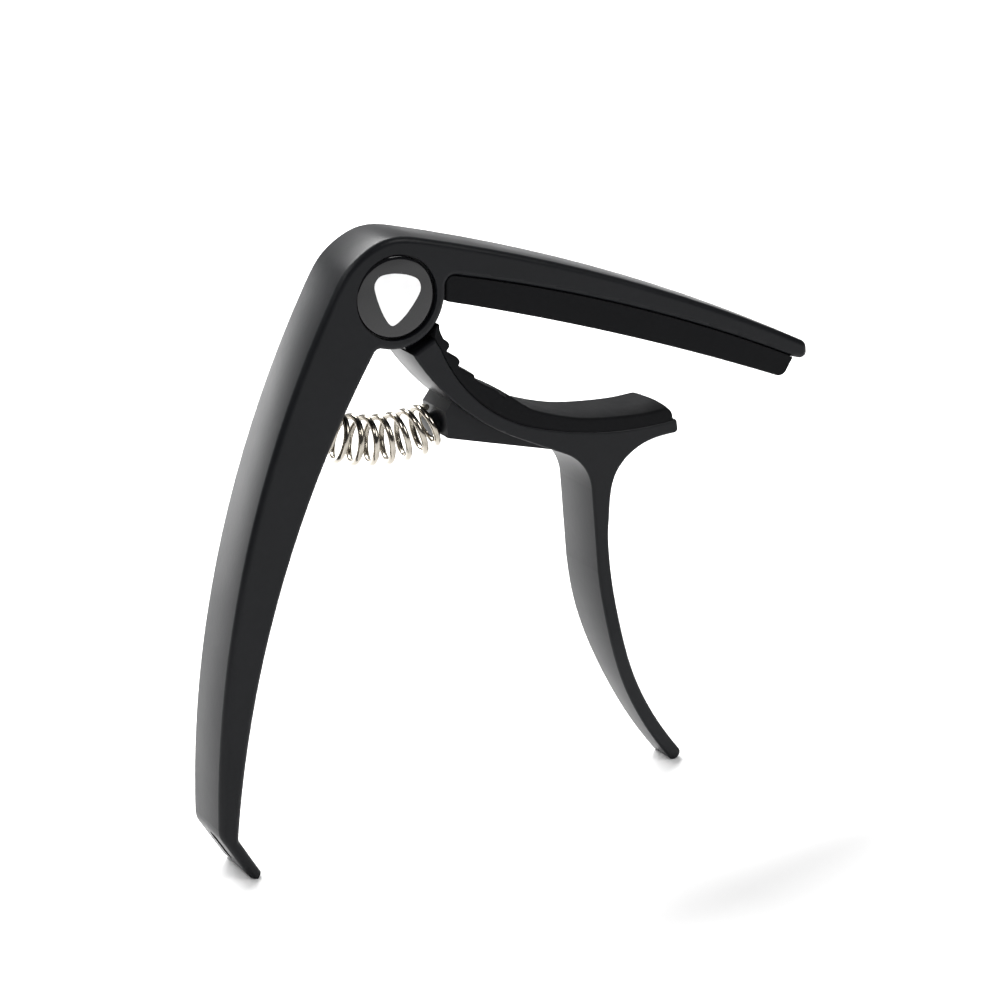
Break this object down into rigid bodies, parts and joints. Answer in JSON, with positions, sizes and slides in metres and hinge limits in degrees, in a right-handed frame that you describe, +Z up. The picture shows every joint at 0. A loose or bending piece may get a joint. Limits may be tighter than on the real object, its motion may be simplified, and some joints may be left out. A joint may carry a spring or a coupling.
{
  "type": "guitar capo",
  "caption": "Sprung trigger capo: a padded arm with a long handle and a pivoting padded jaw with a finger trigger clamp the strings onto a guitar neck.",
  "frame": {"origin": "centre of the bounding box in X and Y, at its lowest point in Z", "axes": "+Z up, from the tips of handle and trigger to the pivot; +X from the pivot along the arm; Y across the width, -Y on the side of the marked badge"},
  "size_m": [0.1137, 0.0124, 0.1019],
  "materials": {
    "black_casting": "satin black powder coat on cast aluminium",
    "black_rubber": "matt",
    "spring_steel": "bright nickel plate",
    "pin_steel": "turned",
    "washer_plastic": "smooth",
    "badge_black": "gloss",
    "emblem_white": "gloss",
    "dome_clear": "clear gloss"
  },
  "bodies": {
    "frame": {"frame": "black_casting", "string_pad": "black_rubber", "spring": "spring_steel", "pivot_barrel": "pin_steel", "pivot_screw": "pin_steel", "washer_front": "washer_plastic", "washer_rear": "washer_plastic", "badge_disc_front": "badge_black", "badge_emblem": "emblem_white", "badge_dome_front": "dome_clear", "badge_disc_rear": "badge_black", "badge_dome_rear": "dome_clear"},
    "lever": {"lever": "black_casting", "neck_pad": "black_rubber"}
  },
  "joints": [
    {"name": "lever_pivot", "type": "hinge", "parent": "frame", "child": "lever", "pos_m": [-0.0176, 0, 0.09218], "axis": [0, 1, 0], "range_deg": [0, 20], "stiffness_Nm_per_rad": 2.6, "springref_deg": -18.91, "deforming": ["spring"]}
  ]
}
